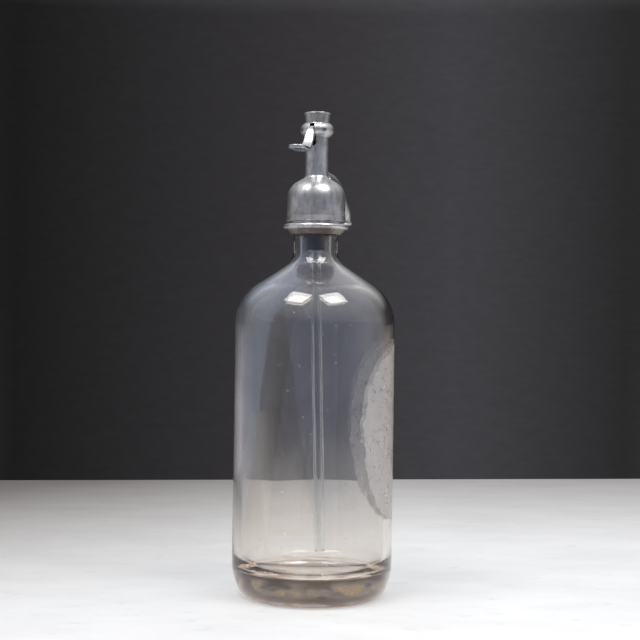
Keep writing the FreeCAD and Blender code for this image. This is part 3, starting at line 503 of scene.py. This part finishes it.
def turned_piece(name, points, material, inner_from):
    """Solid of revolution made by a geometry tree and kept as a plain mesh. Its surface wavers
    inwards from the drawing, and points past the share inner_from count as the inside."""
    chain = outline_object(name + "_outline", points)
    tree = bpy.data.node_groups.new(name + "_lathe", "GeometryNodeTree")
    face = tree.interface
    face.new_socket("Geometry", in_out="INPUT", socket_type="NodeSocketGeometry")
    sockets = {}
    for label, kind in (("Segments", "NodeSocketInt"), ("Outer waver", "NodeSocketFloat"),
                        ("Inner waver", "NodeSocketFloat"), ("Waver size", "NodeSocketFloat"),
                        ("Inner from", "NodeSocketFloat")):
        sockets[label] = face.new_socket(label, in_out="INPUT", socket_type=kind).identifier
    face.new_socket("Geometry", in_out="OUTPUT", socket_type="NodeSocketGeometry")
    source = add(tree, "NodeGroupInput").outputs
    size = add(tree, "GeometryNodeAttributeDomainSize", {"Geometry": source["Geometry"]})
    count = size.outputs["Point Count"]
    columns = maths(tree, "ADD", source["Segments"], 1.0)
    grid = add(tree, "GeometryNodeMeshGrid", {"Vertices X": columns, "Vertices Y": count})
    index = add(tree, "GeometryNodeInputIndex").outputs[0]
    row = maths(tree, "MODULO", index, count)
    column = maths(tree, "FLOOR", maths(tree, "DIVIDE", maths(tree, "ADD", index, 0.5), count))
    angle = maths(tree, "MULTIPLY", maths(tree, "DIVIDE", column, source["Segments"]), math.tau)
    place = add(tree, "GeometryNodeInputPosition").outputs[0]
    sample = add(tree, "GeometryNodeSampleIndex", {
        "Geometry": source["Geometry"], "Index": row}, data_type="FLOAT_VECTOR")
    tree.links.new(place, next(s for s in sample.inputs if s.enabled and s.name == "Value"))
    sampled = next(s for s in sample.outputs if s.enabled)
    split = add(tree, "ShaderNodeSeparateXYZ", {"Vector": sampled}).outputs
    cosine = maths(tree, "COSINE", angle)
    sine = maths(tree, "SINE", angle)
    around = add(tree, "ShaderNodeCombineXYZ", {
        "X": maths(tree, "MULTIPLY", split["X"], cosine),
        "Y": maths(tree, "MULTIPLY", split["X"], sine),
        "Z": split["Z"]}).outputs[0]
    share = maths(tree, "DIVIDE", row, count)
    inner = maths(tree, "GREATER_THAN", share, source["Inner from"])
    outer = maths(tree, "SUBTRACT", 1.0, inner)
    depth = maths(tree, "ADD", maths(tree, "MULTIPLY", inner, source["Inner waver"]),
                  maths(tree, "MULTIPLY", outer, source["Outer waver"]))
    swell = add(tree, "ShaderNodeTexNoise", {
        "Vector": around, "Scale": maths(tree, "DIVIDE", 1.0, source["Waver size"]), "Detail": 1.5})
    inward = maths(tree, "MULTIPLY", swell.outputs["Fac"], depth)
    radius = maths(tree, "MAXIMUM", maths(tree, "SUBTRACT", split["X"], inward), 0.0)
    sag = maths(tree, "MULTIPLY", inner, swell.outputs["Fac"])
    drop = maths(tree, "MULTIPLY", sag, source["Inner waver"])
    final = add(tree, "ShaderNodeCombineXYZ", {
        "X": maths(tree, "MULTIPLY", radius, cosine),
        "Y": maths(tree, "MULTIPLY", radius, sine),
        "Z": maths(tree, "SUBTRACT", split["Z"], drop)}).outputs[0]
    moved = add(tree, "GeometryNodeSetPosition", {"Geometry": grid.outputs["Mesh"], "Position": final})
    merged = add(tree, "GeometryNodeMergeByDistance", {
        "Geometry": moved.outputs[0], "Distance": SEAM_DISTANCE})
    smooth = add(tree, "GeometryNodeSetShadeSmooth", {"Geometry": merged.outputs[0], "Shade Smooth": True})
    marked = add(tree, "GeometryNodeStoreNamedAttribute", {
        "Geometry": smooth.outputs[0], "Name": "inside", "Value": inner}, data_type="FLOAT", domain="POINT")
    real = add(tree, "GeometryNodeRealizeInstances", {"Geometry": marked.outputs[0]})
    coated = add(tree, "GeometryNodeSetMaterial", {"Geometry": real.outputs[0], "Material": material})
    add(tree, "NodeGroupOutput", {"Geometry": coated.outputs[0]})
    modifier = chain.modifiers.new("lathe", "NODES")
    modifier.node_group = tree
    for label, value in (("Segments", BOTTLE_SEGMENTS), ("Outer waver", OUTER_WAVER),
                         ("Inner waver", INNER_WAVER), ("Waver size", WAVER_SIZE),
                         ("Inner from", inner_from)):
        modifier[sockets[label]] = value
    return kept_mesh(name, chain)


def kept_mesh(name, source):
    """Plain mesh object from an evaluated one, with its faces turned outwards; the source goes."""
    graph = bpy.context.evaluated_depsgraph_get()
    mesh = bpy.data.meshes.new_from_object(source.evaluated_get(graph))
    mesh.name = name
    bpy.data.objects.remove(source)
    work = bmesh.new()
    work.from_mesh(mesh)
    bmesh.ops.remove_doubles(work, verts=work.verts, dist=WELD_DISTANCE)
    bmesh.ops.recalc_face_normals(work, faces=work.faces)
    if work.calc_volume(signed=True) < 0:
        bmesh.ops.reverse_faces(work, faces=work.faces)
    work.to_mesh(mesh)
    work.free()
    made = bpy.data.objects.new(name, mesh)
    bpy.context.scene.collection.objects.link(made)
    return made


def place_camera():
    """Camera at the photograph's height, distance and angle."""
    data = bpy.data.cameras.new("camera")
    data.sensor_width = SENSOR
    data.lens = SENSOR * FOCAL_PIXELS / IMAGE_SIZE
    data.clip_start = NEAR_CLIP
    made = bpy.data.objects.new("camera", data)
    bpy.context.scene.collection.objects.link(made)
    bpy.context.scene.camera = made
    sideways = -AXIS_PIXELS * CAMERA_DISTANCE / FOCAL_PIXELS
    place = TOWARDS_CAMERA * CAMERA_DISTANCE + TO_THE_RIGHT * sideways + UP * CAMERA_HEIGHT
    right = TO_THE_RIGHT * math.cos(CAMERA_ROLL) + UP * math.sin(CAMERA_ROLL)
    up = UP * math.cos(CAMERA_ROLL) - TO_THE_RIGHT * math.sin(CAMERA_ROLL)
    back = right.cross(up)
    turn = Matrix((right, up, back)).transposed().to_4x4()
    made.matrix_world = Matrix.Translation(place) @ turn


def place_floor(material):
    """Pale floor whose far edge lies where the photograph's does."""
    corners = []
    for side in (-FLOOR_HALF_WIDTH, FLOOR_HALF_WIDTH):
        corners.append(TO_THE_RIGHT * side + TOWARDS_CAMERA * FLOOR_FRONT - UP * FLOOR_GAP)
    for side in (FLOOR_HALF_WIDTH, -FLOOR_HALF_WIDTH):
        depth = side * FLOOR_SLANT - FLOOR_BEHIND
        corners.append(TO_THE_RIGHT * side + TOWARDS_CAMERA * depth - UP * FLOOR_GAP)
    mesh = bpy.data.meshes.new("floor")
    mesh.from_pydata(corners, [], [(0, 1, 2, 3)])
    mesh.materials.append(material)
    made = bpy.data.objects.new("floor", mesh)
    bpy.context.scene.collection.objects.link(made)


def place_lights():
    """Two soft boxes side by side, above and in front of the bottle."""
    for name, side in LAMP_SIDES.items():
        data = bpy.data.lights.new(name, "AREA")
        data.shape = "RECTANGLE"
        data.size = LAMP_WIDTH
        data.size_y = LAMP_DEPTH
        data.energy = LAMP_POWER
        data.color = srgb("#fffdfb")[:3]
        made = bpy.data.objects.new(name, data)
        bpy.context.scene.collection.objects.link(made)
        place = TO_THE_RIGHT * side + TOWARDS_CAMERA * LAMP_FORWARD + UP * LAMP_HEIGHT
        aim = (place - UP * LAMP_AIM_HEIGHT).to_track_quat("Z", "Y")
        made.matrix_world = Matrix.Translation(place) @ aim.to_matrix().to_4x4()


def light_room():
    """A dark grained wall behind the bottle, a pale room to both sides, a bluish one in front, and
    a pale ceiling. Below the horizon the room beside the wall is lighter and warmer."""
    world = bpy.data.worlds.new("studio")
    bpy.context.scene.world = world
    world.use_nodes = True
    tree = world.node_tree
    tree.nodes.clear()
    direction = add(tree, "ShaderNodeTexCoord").outputs["Generated"]
    front = add(tree, "ShaderNodeVectorMath", {
        0: direction, 1: tuple(-TOWARDS_CAMERA)}, operation="DOT_PRODUCT")
    side = add(tree, "ShaderNodeVectorMath", {
        0: direction, 1: tuple(TO_THE_RIGHT)}, operation="DOT_PRODUCT")
    turn = maths(tree, "ARCTAN2", side.outputs["Value"], front.outputs["Value"])
    share = maths(tree, "MULTIPLY_ADD", turn, 1 / math.tau, 0.5)
    height = add(tree, "ShaderNodeSeparateXYZ", {"Vector": direction}).outputs[2]
    rounds = []
    for room in (ROOM_BELOW, ROOM_ABOVE):
        left = [(-degrees, colour) for degrees, colour in reversed(room)]
        stops = [(0.5 + degrees / 360, colour) for degrees, colour in left + BACK_WALL + room]
        rounds.append(ramp(tree, share, stops))
    above = ramp(tree, maths(tree, "MULTIPLY_ADD", height, 0.5, 0.5), [(0.47, 0.0), (0.51, 1.0)])
    around = mixed(tree, above, rounds[0], rounds[1])
    overhead = ramp(tree, height, [(0.22, 0.0), (0.7, 1.0)])
    around = mixed(tree, overhead, around, srgb(CEILING))
    level = add(tree, "ShaderNodeMapping", {"Vector": direction, "Scale": (1, 1, 3)}).outputs["Vector"]
    grain = noise(tree, level, WALL_GRAIN, detail=6, roughness=0.7)
    wall = add(tree, "ShaderNodeVectorMath", {
        0: around, "Scale": ramp(tree, grain, [(0.3, 0.86), (0.7, 1.0)])}, operation="SCALE").outputs[0]
    light = add(tree, "ShaderNodeBackground", {"Color": wall, "Strength": 1.0})
    output = add(tree, "ShaderNodeOutputWorld")
    tree.links.new(light.outputs[0], output.inputs["Surface"])


def dress(material, names):
    """Give CAD nodes a material."""
    for name in names:
        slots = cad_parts[name].data.materials
        slots.clear()
        slots.append(material)


GLASS = blown_glass()
TUBE_GLASS = drawn_glass()
RUBBER = moulded_rubber()
HEAD_METAL = cast_pewter("cast_pewter_head", "#d8d7d7", "#adaaaa", "#6b6561", (0.22, 0.38), 0.5)
SPOUT_METAL = cast_pewter("cast_pewter_spout", "#d8d7d7", "#b0adad", "#6b6561", (0.22, 0.38), 0.5)
LEVER_METAL = cast_pewter("cast_pewter_lever", "#dcdde0", "#b2b3b6", "#77726e", (0.2, 0.36), 0.35)
CAP_METAL = cast_pewter("cast_pewter_cap", "#c6c4c3", "#979392", "#57504b", (0.24, 0.42), 0.6)
# The collar's taper below its bead gets painted shade
COLLAR_METAL = cast_pewter("turned_pewter_collar", "#e0e0e3", "#b8b5b5", "#7b6e66", (0.16, 0.32), 0.5,
                           SHADE_TOP)
BRASS = turned_metal("turned_brass", "#c8a964", "#8e7440", 0.25)
# The plunger's bronze is darkened nearly to black: painted shade for the shadow inside the slot in the head
SHADED_BRONZE = turned_metal("bronze_with_painted_shade", "#5a5048", "#2e2926", 0.4)
STEEL = turned_metal("drawn_steel", "#8d8f94", "#5c5b5c", 0.3)
TIN = turned_metal("dull_tin", "#cfcdc8", "#a5a29c", 0.35)
LEATHER = cut_leather()

for material, names in (
        (HEAD_METAL, ["head"]),
        (SPOUT_METAL, ["spout"]),
        (LEVER_METAL, ["lever"]),
        (CAP_METAL, ["top_cap"]),
        (COLLAR_METAL, ["collar_half_a", "collar_half_b"]),
        (BRASS, ["valve_seat", "washer_screw", "gland_nut"]),
        (SHADED_BRONZE, ["plunger"]),
        (STEEL, ["plunger_spring", "spring_seat", "lever_pin"]),
        (TIN, ["tube_ferrule"]),
        (RUBBER, ["collar_liner", "neck_gasket", "tube_grommet", "valve_washer"]),
        (LEATHER, ["stem_packing"]),
        (TUBE_GLASS, ["dip_tube"])):
    dress(material, names)

outline = bottle_outline()
lip_index = max(range(len(outline)), key=lambda i: outline[i][1])
bottle = turned_piece("bottle_glass", outline, GLASS, (lip_index + POINTS_OVER_LIP) / len(outline))
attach(bottle, "base")
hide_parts("glass_bottle")

place_camera()
place_floor(painted_floor())
place_lights()
light_room()

bpy.context.scene.view_settings.view_transform = "Standard"
